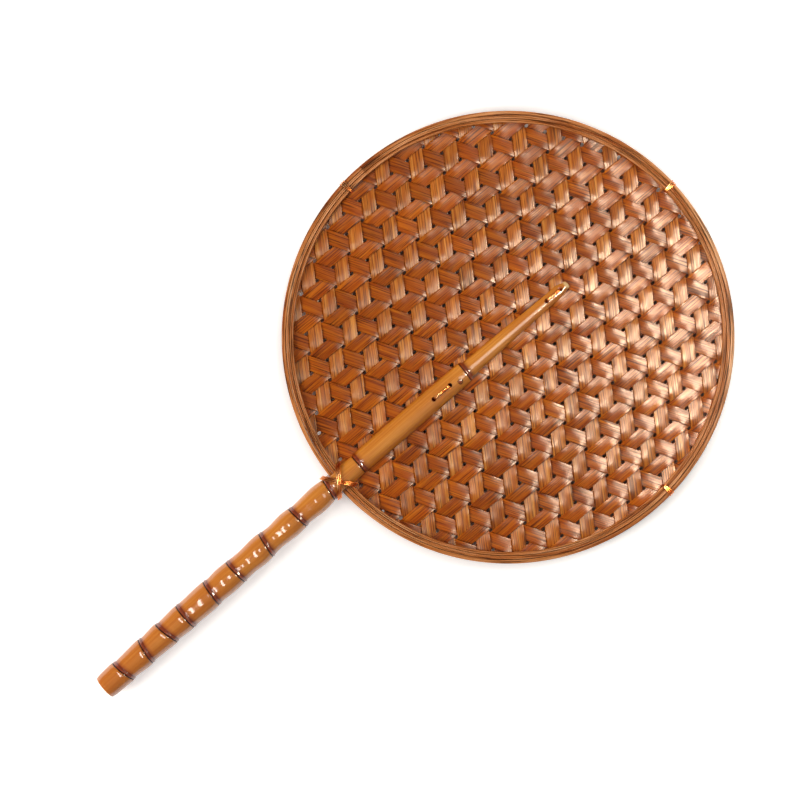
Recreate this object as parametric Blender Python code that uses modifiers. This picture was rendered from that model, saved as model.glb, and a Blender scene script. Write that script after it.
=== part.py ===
"""Woven bamboo hand fan, in metres, lying on its back with the handle along -Y.

A dense three-way weave of split bamboo is trapped by its ends in a thin edge hoop. Two flat
hoops on each face and one standing hoop outside make the rim, which copper wire ties hold
together. The handle is one length of knotty bamboo, sawn along its middle so that a tongue
runs over each face of the weave. Wire binds it to the rim and stitches the tongues together.

Sizes below are the driving ones. The model is built round the centre of the disc, and the
last step puts the middle of the underside of the whole fan at the origin.
"""
from math import ceil, cos, hypot, pi, radians, sin, sqrt

import bmesh
import bpy
from mathutils import Matrix, Vector

MM = 0.001

# Fits between pieces
GAP = 0.3 * MM                     # between neighbours that touch on the real fan
OVERRUN = 2.0 * MM                 # how far a cutter runs past what it cuts
MERGE = 0.01 * MM

# Weave
STRIP_WIDTH = 8.7 * MM
STRIP_CROWN = 0.62 * MM            # thickness along the crowned back of a strip
WAVE_HEIGHT = 1.5 * MM             # how far a strip rises and dips from the middle of the weave
STEP_ALONG = 12.9 * MM             # from crossing to crossing on the strips along the handle
STEP_ACROSS = 12.1 * MM            # the same on the strips that fall to the left
ANGLE_ALONG = radians(89.2)
ANGLE_ACROSS = radians(209.9)
START_X = 0.9 * MM                 # a hole of the weave where six strip corners meet
START_Y = -5.7 * MM
CREST_SHARE = 1.0                  # levels of a strip, as shares of the wave height
DIP_SHARE = -1.0
RIDING_SHARE = 0.25

# Rim
DISC_RADIUS = 140.0 * MM
OUTER_HOOP_THICKNESS = 2.4 * MM
OUTER_HOOP_HEIGHT = 7.2 * MM
OUTER_HOOP_ROUND = 0.7 * MM
FACE_HOOP_WIDTH = 2.1 * MM
FACE_HOOP_HEIGHT = 2.0 * MM
RIM_STEPS = 60
TRIM_REACH = 1.3                   # how far the cutter that trims the strips reaches, in disc radii

# Handle
BUTT_DISTANCE = 330.8 * MM         # from the sawn butt to the centre of the disc
TONGUE_REACH = 49.7 * MM           # from the centre of the disc to the end of the tongues
HANDLE_RADIUS = 9.1 * MM           # at the fattest internode
TONGUE_HALF_WIDTH = 7.1 * MM
TIP_HALF_WIDTH = 3.6 * MM
NODE_GROOVE = 0.35 * MM            # depth of the dark line at a node
NODE_GROOVE_HALF = 0.5 * MM
NODE_EDGE = 2.2 * MM               # from a node to where the culm has its full width
HANDLE_BOW = 1.2 * MM              # how far the culm curves to the left
HANDLE_SHIFT = 0.3 * MM            # the butt stands this far left of the middle line
HANDLE_STEPS = 16

# Wire
WIRE_DIAMETER = 0.7 * MM
WIRE_GAP = 0.48 * MM               # between turns of one wire
TIE_ANGLES = (radians(5.3), radians(92.0), radians(186.0))
TIE_TURNS = 3
STITCH_TURNS = 2
STITCH_BEND = 1.0 * MM
LOWER_STITCH_LENGTH = 13.0 * MM    # from hole to hole
LOWER_STITCH_TO_BUD = 12.4 * MM    # from the nearer hole to the node halfway up the tongues
UPPER_STITCH_LENGTH = 11.1 * MM
UPPER_STITCH_TO_TIP = 6.0 * MM     # from the nearer hole to the end of the tongues
STITCH_X = -1.2 * MM
BINDING_ROUNDS = 2
BINDING_REACH = 9.3 * MM           # from the middle line to where the wire turns back
BINDING_OUTSIDE = 3.2 * MM         # from the rim's outer edge to the wire below it
BINDING_INSIDE = 3.8 * MM          # from the rim's inner edge to the wire above it
CORNER_POINTS = 3
LEG_POINTS = 8

# Worked out from the sizes above
RIM_INNER = DISC_RADIUS - OUTER_HOOP_THICKNESS - 2 * (FACE_HOOP_WIDTH + GAP)
CORE_OUTER = DISC_RADIUS - OUTER_HOOP_THICKNESS - GAP
CORE_INNER = RIM_INNER + GAP
TRIM_RADIUS = (CORE_INNER + CORE_OUTER) / 2
CORE_HALF = WAVE_HEIGHT + GAP
FACE_HOOP_BASE = CORE_HALF + GAP
RIM_HALF = max(FACE_HOOP_BASE + FACE_HOOP_HEIGHT, OUTER_HOOP_HEIGHT / 2)
SLOT_HALF = WAVE_HEIGHT + GAP
WIRE_RADIUS = WIRE_DIAMETER / 2
WIRE_STEP = WIRE_DIAMETER + WIRE_GAP
SEAT = GAP + WIRE_RADIUS           # from a surface to the middle of a wire that lies on it

# Nodes of the culm: place as a share of its length, radius as a share of HANDLE_RADIUS,
# the swell before the next node as a share of HANDLE_RADIUS, and the slope of the node line
CULM_SHARES = (
    (0.041, 0.930, 0.945, 0.20),
    (0.090, 0.930, 0.955, -0.15),
    (0.135, 0.935, 1.000, 0.20),
    (0.175, 0.965, 1.000, 0.0),
    (0.232, 0.920, 1.000, -0.09),
    (0.284, 0.880, 0.985, 0.06),
    (0.351, 0.885, 0.950, -0.15),
    (0.419, 0.800, 0.920, 0.10),
    (0.487, 0.750, 0.825, -0.16),
)
BUTT_SHARES = (0.86, 0.93)         # radius at the butt, and its swell before the first node
NECK_SHARE = 0.551                 # the node above the rim, where the tongues begin
BUD_NODE_SHARE = 0.779             # the node halfway up the tongues
NECK_WIDTH_SHARE = 0.92            # width at the neck, as a share of the tongue's
BUD_WIDTH_SHARE = 0.91
UPPER_WIDTH_SHARE = 0.76           # width just above the bud node
TIP_ROUND_SHARE = 0.7              # width of the flat end, as a share of the tip's

# sRGB colours of the pieces
BAMBOO_COLOUR = (0.70, 0.42, 0.22)
HOOP_COLOUR = (0.72, 0.45, 0.26)
HANDLE_COLOUR = (0.74, 0.47, 0.20)
COPPER_COLOUR = (0.85, 0.50, 0.25)


def clear_scene():
    for thing in list(bpy.data.objects):
        bpy.data.objects.remove(thing)


def collection(name, cutters=False):
    group = bpy.data.collections.new(name)
    bpy.context.scene.collection.children.link(group)
    group.hide_render = cutters
    return group


def linear(channel):
    return channel / 12.92 if channel <= 0.04045 else ((channel + 0.055) / 1.055) ** 2.4


def material(name, colour, roughness, metallic=0.0):
    made = bpy.data.materials.new(name)
    made.use_nodes = True
    shader = made.node_tree.nodes["Principled BSDF"]
    shader.inputs["Base Color"].default_value = (*(linear(part) for part in colour), 1.0)
    shader.inputs["Roughness"].default_value = roughness
    shader.inputs["Metallic"].default_value = metallic
    return made


def add_object(name, data, group, finish=None):
    made = bpy.data.objects.new(name, data)
    group.objects.link(made)
    if finish:
        data.materials.append(finish)
    return made


def as_cutter(thing):
    thing.hide_render = True
    thing.display_type = "WIRE"
    return thing


def mesh_from(bm, name):
    mesh = bpy.data.meshes.new(name)
    bm.to_mesh(mesh)
    bm.free()
    return mesh


def add_boolean(thing, operation, other):
    step = thing.modifiers.new(operation.lower(), "BOOLEAN")
    step.operation = operation
    step.solver = "EXACT"
    step.object = other


def on_disc(radius, angle, height):
    return Vector((radius * cos(angle), radius * sin(angle), height))


# The weave

def weave_steps():
    """The three steps from crossing to crossing, one for each way the strips run."""
    along = Vector((STEP_ALONG * cos(ANGLE_ALONG), STEP_ALONG * sin(ANGLE_ALONG)))
    across = Vector((STEP_ACROSS * cos(ANGLE_ACROSS), STEP_ACROSS * sin(ANGLE_ACROSS)))
    return along, across, along + across


def strip_level(crossing, left):
    """Height of a strip's edge at a crossing, counted from a crossing that it tops."""
    place = crossing % 3
    if place == 0:
        return WAVE_HEIGHT * CREST_SHARE
    dips = left if place == 2 else not left
    return WAVE_HEIGHT * (DIP_SHARE if dips else RIDING_SHARE)


def add_strip(bm, crest, step):
    """One strip through a crest: flat in front, crowned behind, with a section at each crossing."""
    forward = step.normalized()
    leftward = Vector((-forward.y, forward.x))
    offset = crest.dot(leftward)
    inner_edge = max(abs(offset) - STRIP_WIDTH / 2, 0.0)
    if inner_edge > CORE_INNER:
        return False
    reach = sqrt(DISC_RADIUS ** 2 - inner_edge ** 2)
    first = -ceil((reach + crest.dot(forward)) / step.length)
    last = ceil((reach - crest.dot(forward)) / step.length)
    made = bmesh.ops.create_grid(bm, x_segments=last - first, y_segments=3, size=0.5)["verts"]
    for vert in made:
        crossing = first + round((vert.co.x + 0.5) * (last - first))
        corner = round((vert.co.y + 0.5) * 3) % 3
        spot = crest + step * crossing
        levels = (strip_level(crossing, True), strip_level(crossing, False))
        if corner == 0:
            spot, height = spot + leftward * STRIP_WIDTH / 2, levels[0]
        elif corner == 1:
            spot, height = spot - leftward * STRIP_WIDTH / 2, levels[1]
        else:
            height = (levels[0] + levels[1]) / 2 - STRIP_CROWN
        vert.co = (spot.x, spot.y, height)
    bmesh.ops.remove_doubles(bm, verts=made, dist=MERGE)
    return True


def weave_mesh():
    """All strips of the three ways, each way's crests set one crossing further on."""
    along, across, third = weave_steps()
    start = Vector((START_X, START_Y))
    half_count = ceil(DISC_RADIUS / (STRIP_WIDTH / 2)) // 2
    bm = bmesh.new()
    count = 0
    for number in range(-half_count, half_count):
        row = number + 0.5
        crests = (
            (start + along * (1.5 + 2 * row) + across * row, along),
            (start + along * row - across * (1.5 + row), across),
            (start + along * 2 * row + across * row, third),
        )
        for crest, step in crests:
            count += add_strip(bm, crest, step)
    bmesh.ops.reverse_faces(bm, faces=bm.faces)
    bmesh.ops.holes_fill(bm, edges=[edge for edge in bm.edges if edge.is_boundary], sides=3)
    bm.normal_update()
    # The back is split the other way from the front, so that the two never meet inside a strip.
    fronts = [face for face in bm.faces if face.normal.z > 0]
    backs = [face for face in bm.faces if face.normal.z <= 0]
    bmesh.ops.triangulate(bm, faces=fronts, quad_method="FIXED")
    bmesh.ops.triangulate(bm, faces=backs, quad_method="ALTERNATE")
    print("strips in the weave:", count)
    return mesh_from(bm, "woven_panel")


def awl_holes(name, spots, radius, half_height, group):
    """Upright round holes through the weave or the tongues, joined in one cutter."""
    bm = bmesh.new()
    for spot in spots:
        bmesh.ops.create_cone(
            bm, cap_ends=True, segments=8, radius1=radius, radius2=radius,
            depth=2 * half_height, matrix=Matrix.Translation((spot[0], spot[1], 0.0)))
    return as_cutter(add_object(name, mesh_from(bm, name), group))


# Turned pieces

def ring_profile(inner, outer, low, high, rounding):
    """Section of a hoop from its inner lower corner up, out, and down its outer side."""
    if not rounding:
        return [(inner, low), (inner, high), (outer, high), (outer, low)]
    return [
        (inner, low),
        (inner, high),
        (outer - rounding, high),
        (outer, high - rounding),
        (outer, low + rounding),
        (outer - rounding, low),
    ]


def turned(name, profile, group, finish=None):
    """A closed profile turned about the upright axis by a Screw modifier."""
    bm = bmesh.new()
    points = [bm.verts.new((radius, 0.0, height)) for radius, height in profile]
    for place, point in enumerate(points):
        bm.edges.new((point, points[(place + 1) % len(points)]))
    mesh = bpy.data.meshes.new(name)
    bm.to_mesh(mesh)
    bm.free()
    made = add_object(name, mesh, group, finish)
    screw = made.modifiers.new("turn", "SCREW")
    screw.axis = "Z"
    screw.steps = screw.render_steps = RIM_STEPS
    screw.use_merge_vertices = True
    screw.merge_threshold = MERGE
    return made


# Handle

def half_width_to_radius(half_width):
    """Radius of a culm whose sawn half has this half width at the slot."""
    return hypot(half_width, SLOT_HALF)


def culm_profile():
    """Rings of the culm: distance from the butt, radius, and slope of the ring."""
    length = BUTT_DISTANCE + TONGUE_REACH
    rings = [
        (0.0, HANDLE_RADIUS * BUTT_SHARES[0], 0.0),
        (NODE_EDGE, HANDLE_RADIUS * BUTT_SHARES[1], 0.0),
    ]
    for place_share, radius_share, swell_share, slope in CULM_SHARES:
        rings += node_rings(length * place_share, HANDLE_RADIUS * radius_share, slope)
        rings.append((None, HANDLE_RADIUS * swell_share, slope))
    neck = half_width_to_radius(TONGUE_HALF_WIDTH * NECK_WIDTH_SHARE)
    rings += node_rings(length * NECK_SHARE, neck, 0.0)
    rings.append((None, half_width_to_radius(TONGUE_HALF_WIDTH), 0.0))
    bud = half_width_to_radius(TONGUE_HALF_WIDTH * BUD_WIDTH_SHARE)
    rings += node_rings(length * BUD_NODE_SHARE, bud, 0.0)
    upper = half_width_to_radius(TONGUE_HALF_WIDTH * UPPER_WIDTH_SHARE)
    rings.append((length * BUD_NODE_SHARE + 2 * NODE_EDGE, upper, 0.0))
    rings.append((length - NODE_EDGE, half_width_to_radius(TIP_HALF_WIDTH), 0.0))
    rings.append((length, half_width_to_radius(TIP_HALF_WIDTH * TIP_ROUND_SHARE), 0.0))
    placed = []
    for number, (place, radius, slope) in enumerate(rings):
        if place is None:
            before, after = rings[number - 1], rings[number + 1]
            place = (before[0] + 3 * after[0]) / 4
            slope = (before[2] + 3 * after[2]) / 4
        placed.append((place, radius, slope))
    return placed


def node_rings(place, radius, slope):
    """A node line: its edge below, its groove, and the raised lip above it."""
    return [
        (place - NODE_GROOVE_HALF, radius, slope),
        (place, radius - NODE_GROOVE, slope),
        (place + NODE_GROOVE_HALF, radius + NODE_GROOVE, slope),
    ]


def handle_middle(distance):
    """Sideways place of the culm's middle line, which bows to the left."""
    length = BUTT_DISTANCE + TONGUE_REACH
    share = distance / (length * NECK_SHARE) - 1
    return -HANDLE_SHIFT - HANDLE_BOW * (1 - share ** 2)


def handle_mesh():
    """The culm, spun from its profile and then sloped ring by ring and bowed."""
    rings = culm_profile()
    bm = bmesh.new()
    points = [bm.verts.new((radius, place, 0.0)) for place, radius, _ in rings]
    for lower, upper in zip(points, points[1:]):
        bm.edges.new((lower, upper))
    bmesh.ops.spin(
        bm, geom=bm.verts[:] + bm.edges[:], cent=(0.0, 0.0, 0.0), axis=(0.0, 1.0, 0.0),
        angle=2 * pi, steps=HANDLE_STEPS, use_merge=True, use_normal_flip=False)
    bmesh.ops.remove_doubles(bm, verts=bm.verts, dist=MERGE)
    bmesh.ops.holes_fill(bm, edges=[edge for edge in bm.edges if edge.is_boundary], sides=0)
    for vert in bm.verts:
        place, _, slope = min(rings, key=lambda ring: abs(ring[0] - vert.co.y))
        vert.co.y = place + slope * vert.co.x - BUTT_DISTANCE
        vert.co.x += handle_middle(place)
    bmesh.ops.recalc_face_normals(bm, faces=bm.faces)
    return mesh_from(bm, "handle")


def slot_cutter(group):
    """The saw cut between the tongues, from the middle of the rim to past the tip."""
    start = -(RIM_INNER + DISC_RADIUS) / 2
    end = TONGUE_REACH + OVERRUN
    half_wide = HANDLE_RADIUS + HANDLE_BOW + HANDLE_SHIFT + OVERRUN
    bm = bmesh.new()
    bmesh.ops.create_cube(bm, size=1.0)
    bmesh.ops.scale(bm, vec=(2 * half_wide, end - start, 2 * SLOT_HALF), verts=bm.verts)
    bmesh.ops.translate(bm, vec=(0.0, (start + end) / 2, 0.0), verts=bm.verts)
    return as_cutter(add_object("slot_cutter", mesh_from(bm, "slot_cutter"), group))


# Wire

def wire(name, points, group, finish):
    """An unbroken wire along the points, as a mesh with closed ends."""
    curve = bpy.data.curves.new(name, "CURVE")
    curve.dimensions = "3D"
    curve.bevel_depth = WIRE_RADIUS
    curve.bevel_resolution = 1
    curve.use_fill_caps = True
    line = curve.splines.new("POLY")
    line.points.add(len(points) - 1)
    for spot, point in zip(line.points, points):
        spot.co = (*point, 1.0)
    made = add_object(name, curve, group, finish)
    return made


def print_least_gap(name, points, turn_points):
    """Measure how close the wire comes to itself, on points set along it."""
    fine = []
    for start, end in zip(points, points[1:]):
        count = max(1, ceil((end - start).length / WIRE_RADIUS))
        fine += [start.lerp(end, number / count) for number in range(count)]
    skip = ceil(2 * WIRE_STEP / WIRE_RADIUS)
    least = min(
        (one - other).length
        for number, one in enumerate(fine)
        for other in fine[number + skip:]
    )
    print(f"{name}: {turn_points} points a turn, least gap {(least - WIRE_DIAMETER) / MM:.2f} mm")


def lashing(half_width, half_height, bend, turns):
    """A wire wound square round a section: across, up and along, the ends behind."""
    points = []
    corners = (
        (-half_width, half_height, pi),
        (half_width, half_height, pi / 2),
        (half_width, -half_height, 0.0),
        (-half_width, -half_height, -pi / 2),
    )
    for turn in range(turns):
        along = (turn - (turns - 1) / 2) * WIRE_STEP
        if turn == 0:
            points.append(Vector((-half_width - bend, -half_height, along)))
        for place, (across, up, start) in enumerate(corners):
            last = place == 3
            if last and turn == turns - 1:
                break
            for number in range(CORNER_POINTS):
                angle = start - number * pi / 2 / (CORNER_POINTS - 1)
                points.append(Vector((
                    across + bend * cos(angle), up + bend * sin(angle),
                    along + WIRE_STEP * last)))
    return points


def rim_tie(name, angle, group, finish):
    """Turns of wire round the rim, through the weave just inside it."""
    half_width = (DISC_RADIUS - RIM_INNER) / 2
    middle = (DISC_RADIUS + RIM_INNER) / 2
    outward = Vector((cos(angle), sin(angle), 0.0))
    sideways = Vector((-sin(angle), cos(angle), 0.0))
    points = [
        outward * (middle + point.x) + Vector((0.0, 0.0, point.y)) + sideways * point.z
        for point in lashing(half_width, RIM_HALF, SEAT, TIE_TURNS)
    ]
    print_least_gap(name, points, 4 * CORNER_POINTS)
    return wire(name, points, group, finish)


def tongue_radius(distance):
    """Radius of the culm at a distance from the butt."""
    rings = culm_profile()
    for (low, low_radius, _), (high, high_radius, _) in zip(rings, rings[1:]):
        if low <= distance <= high:
            return low_radius + (high_radius - low_radius) * (distance - low) / (high - low)
    return rings[-1][1]


def stitch_holes():
    """The two holes of the lower stitch and of the upper one, along the handle."""
    bud = (BUTT_DISTANCE + TONGUE_REACH) * BUD_NODE_SHARE - BUTT_DISTANCE
    lower = bud - LOWER_STITCH_TO_BUD
    upper = TONGUE_REACH - UPPER_STITCH_TO_TIP
    return (lower - LOWER_STITCH_LENGTH, lower), (upper - UPPER_STITCH_LENGTH, upper)


def stitch(name, holes, group, finish):
    """Two turns of wire through the holes of a stitch, over both tongues."""
    middle = (holes[0] + holes[1]) / 2
    height = max(tongue_radius(hole + BUTT_DISTANCE) for hole in (*holes, middle))
    half_length = (holes[1] - holes[0]) / 2
    points = [
        Vector((STITCH_X + point.z, middle + point.x, point.y))
        for point in lashing(
            half_length - STITCH_BEND, height + SEAT - STITCH_BEND, STITCH_BEND, STITCH_TURNS)
    ]
    print_least_gap(name, points, 4 * CORNER_POINTS)
    return wire(name, points, group, finish)


def binding_ends():
    """Where the binding turns down beside the handle: below the rim and above it."""
    return -DISC_RADIUS - BINDING_OUTSIDE, -RIM_INNER + BINDING_INSIDE


def binding_step():
    """How far one round of the binding lies from the next, along the handle."""
    outside, inside = binding_ends()
    return WIRE_STEP * hypot(2 * BINDING_REACH, inside - outside) / (2 * BINDING_REACH)


def handle_binding(group, finish):
    """A cross lashing: two slanting legs in front and two straight ones behind, each round."""
    outside, inside = binding_ends()
    rim_spot = (outside + inside) / 2 + BUTT_DISTANCE
    middle = handle_middle(rim_spot)
    base = max(
        tongue_radius(place + BUTT_DISTANCE)
        for place in (outside, (outside + inside) / 2, inside)) + SEAT
    left, right = middle - BINDING_REACH, middle + BINDING_REACH
    points = []
    for number in range(BINDING_ROUNDS):
        low = outside - number * binding_step()
        high = inside - number * binding_step()
        next_low = low - binding_step()
        legs = [
            ((left, low), (right, high), base),
            ((right, high), (left, high), -base),
            ((left, high), (right, low), base + WIRE_STEP),
            ((right, low), (left, next_low), -base),
        ]
        if number == BINDING_ROUNDS - 1:
            legs.pop()
        for start, end, height in legs:
            for place in range(LEG_POINTS):
                turn = pi * place / LEG_POINTS
                share = (1 - cos(turn)) / 2
                points.append(Vector((
                    start[0] + (end[0] - start[0]) * share,
                    start[1] + (end[1] - start[1]) * share,
                    height * sin(turn))))
    points.append(Vector((right, low, 0.0)))
    print_least_gap("handle_binding", points, 4 * LEG_POINTS)
    return wire("handle_binding", points, group, finish)


# Assembly

def build_rim(parts, hoop_finish):
    base, top = FACE_HOOP_BASE, FACE_HOOP_BASE + FACE_HOOP_HEIGHT
    inner = RIM_INNER
    for place in ("inner", "outer"):
        outer = inner + FACE_HOOP_WIDTH
        front = ring_profile(inner, outer, base, top, 0.0)
        back = ring_profile(inner, outer, -top, -base, 0.0)
        turned(f"front_{place}_hoop", front, parts, hoop_finish)
        turned(f"back_{place}_hoop", back, parts, hoop_finish)
        inner = outer + GAP
    half = OUTER_HOOP_HEIGHT / 2
    profile = ring_profile(
        DISC_RADIUS - OUTER_HOOP_THICKNESS, DISC_RADIUS, -half, half, OUTER_HOOP_ROUND)
    turned("outer_hoop", profile, parts, hoop_finish)


def build_weave(parts, cutters, finish):
    panel = add_object("woven_panel", weave_mesh(), parts, finish)
    half = WAVE_HEIGHT + OVERRUN
    trim = as_cutter(turned(
        "trim_cutter", ring_profile(TRIM_RADIUS, DISC_RADIUS * TRIM_REACH, -half, half, 0.0),
        cutters))
    add_boolean(panel, "DIFFERENCE", trim)
    core = as_cutter(turned(
        "edge_hoop", ring_profile(CORE_INNER, CORE_OUTER, -CORE_HALF, CORE_HALF, 0.0), cutters))
    add_boolean(panel, "UNION", core)
    tie_spots = [on_disc(RIM_INNER - SEAT, angle, 0.0) for angle in TIE_ANGLES]
    outside, inside = binding_ends()
    side_y = inside - binding_step() * (BINDING_ROUNDS - 1) / 2
    middle = handle_middle((outside + inside) / 2 + BUTT_DISTANCE)
    side_spots = [(middle + side * BINDING_REACH, side_y) for side in (-1, 1)]
    radius = (TIE_TURNS - 1) / 2 * WIRE_STEP + SEAT
    wide = awl_holes("awl_cutter", tie_spots + side_spots, radius, RIM_HALF, cutters)
    add_boolean(panel, "DIFFERENCE", wide)
    return panel


def build_handle(parts, cutters, finish):
    handle = add_object("handle", handle_mesh(), parts, finish)
    add_boolean(handle, "DIFFERENCE", slot_cutter(cutters))
    notch = as_cutter(turned(
        "rim_notch_cutter",
        ring_profile(RIM_INNER - GAP, DISC_RADIUS + GAP, -RIM_HALF - GAP, RIM_HALF + GAP, 0.0),
        cutters))
    add_boolean(handle, "DIFFERENCE", notch)
    return handle


def build_stitches(parts, cutters, handle, panel, finish):
    radius = (STITCH_TURNS - 1) / 2 * WIRE_STEP + SEAT
    lower, upper = stitch_holes()
    spots = [(STITCH_X, place) for place in lower + upper]
    holes = awl_holes("stitch_cutter", spots, radius, HANDLE_RADIUS + OVERRUN, cutters)
    add_boolean(handle, "DIFFERENCE", holes)
    add_boolean(panel, "DIFFERENCE", holes)
    stitch("lower_stitch", lower, parts, finish)
    stitch("upper_stitch", upper, parts, finish)


def shade_round(thing):
    if thing.type == "MESH":
        thing.data.shade_smooth()
        thing.data.set_sharp_from_angle(angle=radians(35))


def seat_on_origin(parts, cutters):
    """Hang it all on one empty, and put the middle of the fan's underside at the origin."""
    bpy.context.view_layer.update()
    graph = bpy.context.evaluated_depsgraph_get()
    corners = []
    for thing in parts.objects:
        solid = thing.evaluated_get(graph)
        mesh = solid.to_mesh()
        corners += [thing.matrix_world @ vert.co for vert in mesh.vertices]
        solid.to_mesh_clear()
    low = Vector([min(corner[axis] for corner in corners) for axis in range(3)])
    high = Vector([max(corner[axis] for corner in corners) for axis in range(3)])
    middle = (low + high) / 2
    anchor = bpy.data.objects.new("fan", None)
    anchor.location = (-middle.x, -middle.y, -low.z)
    parts.objects.link(anchor)
    for thing in [*parts.objects, *cutters.objects]:
        if thing is not anchor:
            thing.parent = anchor
    print("disc centre at", [round(part / MM, 3) for part in anchor.location], "mm")
    print("size", [round(part / MM, 2) for part in high - low], "mm")


def main():
    clear_scene()
    parts = collection("woven_bamboo_hand_fan")
    cutters = collection("cutters", cutters=True)
    weave_finish = material("split_bamboo", BAMBOO_COLOUR, 0.45)
    hoop_finish = material("bamboo_hoop", HOOP_COLOUR, 0.45)
    handle_finish = material("bamboo_culm", HANDLE_COLOUR, 0.3)
    wire_finish = material("copper_wire", COPPER_COLOUR, 0.3, 1.0)
    panel = build_weave(parts, cutters, weave_finish)
    build_rim(parts, hoop_finish)
    handle = build_handle(parts, cutters, handle_finish)
    for name, angle in zip(("right_tie", "top_tie", "left_tie"), TIE_ANGLES):
        rim_tie(name, angle, parts, wire_finish)
    handle_binding(parts, wire_finish)
    build_stitches(parts, cutters, handle, panel, wire_finish)
    for thing in parts.objects:
        shade_round(thing)
    seat_on_origin(parts, cutters)


main()
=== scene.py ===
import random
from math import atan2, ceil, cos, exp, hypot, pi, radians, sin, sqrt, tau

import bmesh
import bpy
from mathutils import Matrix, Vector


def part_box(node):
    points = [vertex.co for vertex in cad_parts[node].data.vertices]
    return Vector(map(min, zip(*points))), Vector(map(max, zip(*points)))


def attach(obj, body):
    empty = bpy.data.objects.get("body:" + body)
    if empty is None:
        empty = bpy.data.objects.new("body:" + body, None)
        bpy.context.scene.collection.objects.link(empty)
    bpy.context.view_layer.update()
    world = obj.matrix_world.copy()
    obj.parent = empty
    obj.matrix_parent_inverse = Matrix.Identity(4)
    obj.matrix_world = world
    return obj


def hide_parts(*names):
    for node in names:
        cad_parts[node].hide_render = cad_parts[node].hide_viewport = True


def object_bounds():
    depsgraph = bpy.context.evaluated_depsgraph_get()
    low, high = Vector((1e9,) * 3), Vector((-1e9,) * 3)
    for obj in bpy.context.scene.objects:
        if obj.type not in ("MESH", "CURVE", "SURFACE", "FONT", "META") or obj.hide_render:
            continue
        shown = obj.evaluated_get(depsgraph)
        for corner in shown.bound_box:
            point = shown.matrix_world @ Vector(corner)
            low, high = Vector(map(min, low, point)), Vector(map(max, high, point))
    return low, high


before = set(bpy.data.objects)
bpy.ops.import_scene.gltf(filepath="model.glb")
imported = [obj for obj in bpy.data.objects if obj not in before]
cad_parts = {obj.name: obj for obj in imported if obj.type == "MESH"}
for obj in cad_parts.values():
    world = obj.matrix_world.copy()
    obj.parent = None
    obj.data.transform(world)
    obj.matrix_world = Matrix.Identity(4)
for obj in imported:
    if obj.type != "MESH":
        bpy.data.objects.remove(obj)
# %% [markdown]
# # A woven bamboo hand fan
#
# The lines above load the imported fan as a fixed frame. It is the engineering model: every piece
# is in its right place and has its right size, but it has few faces and plain colours. This
# lesson dresses it. It makes finer strips, hoops, handle and wires in the same places, gives each
# a material worked out from what it really is, and lights them as on a studio table.
#
# The frame's own box is measured first, because nothing made here may outgrow it.

MM = 0.001

cad_low, cad_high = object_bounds()
print("frame size in mm:", [round(side / MM, 1) for side in cad_high - cad_low])

# %% [markdown]
# ## Where things are
#
# The fan is built round the middle of its disc. The standing hoop outside is a full circle, so
# the middle of its box is the middle of the disc, and half its width is the radius. The numbers
# could be typed in, but measuring them here keeps the looks on the frame.

# %% The middle of the disc
hoop_low, hoop_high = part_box("outer_hoop")
disc_centre = (hoop_low + hoop_high) / 2
DISC_RADIUS = (hoop_high.x - hoop_low.x) / 2
handle_low, handle_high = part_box("handle")
BUTT_DISTANCE = disc_centre.y - handle_low.y
TONGUE_REACH = handle_high.y - disc_centre.y
print("disc radius", round(DISC_RADIUS / MM, 2), "mm, butt at", round(BUTT_DISTANCE / MM, 2), "mm")

# %% [markdown]
# ## From a bmesh to a piece
#
# A mesh is shaped in a bmesh, where the modelling operators are, and is then put in an object.
# Everything is shaped round the middle of the disc. The object could be moved to its place, but it
# is the vertices that are shifted: an object that stays at the origin keeps its patterns in place.

# %% Helpers for pieces
def new_object(name, bm):
    """An object in the scene with the shape of the bmesh, which is freed."""
    mesh = bpy.data.meshes.new(name)
    bm.to_mesh(mesh)
    bm.free()
    made = bpy.data.objects.new(name, mesh)
    bpy.context.scene.collection.objects.link(made)
    return made


def finish_piece(name, bm):
    """A piece that rides on the fan, moved from the middle of the disc to its place."""
    bmesh.ops.translate(bm, vec=disc_centre, verts=bm.verts)
    piece = new_object(name, bm)
    piece.data.shade_smooth()
    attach(piece, "root")
    print(name, len(piece.data.polygons), "faces")
    return piece


# %% [markdown]
# ## The weave
#
# Three families of split bamboo strips cross at about sixty degrees. Along one strip the rule is
# over, then under, then a crossing where it lies between, and the next strip of the same
# family starts one crossing further on. That is why no two strips ever lie on each other and
# the visible tiles are diamonds that read as cubes.
#
# Two steps, from one crossing to the next along two of the families, fix the whole pattern: the
# third family runs along their sum.

# %% The pattern of the weave
STEP_ALONG, ANGLE_ALONG = 12.9 * MM, radians(89.2)
STEP_ACROSS, ANGLE_ACROSS = 12.1 * MM, radians(209.9)
FIRST_HOLE = Vector((0.9 * MM, -5.7 * MM))     # where six strip corners meet

along = Vector((STEP_ALONG * cos(ANGLE_ALONG), STEP_ALONG * sin(ANGLE_ALONG)))
across = Vector((STEP_ACROSS * cos(ANGLE_ACROSS), STEP_ACROSS * sin(ANGLE_ACROSS)))
third = along + across
print("the third family has a crossing every", round(third.length / MM, 2), "mm")

# %% [markdown]
# A real strip can't fold, so it waves smoothly and also leans from side to side. It could be
# bent by a curve or by cloth simulation, but both motions repeat every three crossings, so a few
# cosines describe the whole strip and no two strips can drift apart.

# %% The wave of a strip
CROSSINGS = 3                                  # the pattern repeats after so many
WAVE = 1.12 * MM
THIRD_WAVE, LEAN = -0.085, -0.60               # shares of the wave: broader crests, and the lean


def strip_height(steps, side):
    """Height of a strip, so many crossings past its crest; side runs from -1 to 1 at its left."""
    turn = tau * steps / CROSSINGS
    return WAVE * (cos(turn) + THIRD_WAVE * cos(3 * turn) + LEAN * side * sin(2 * turn))


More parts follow.
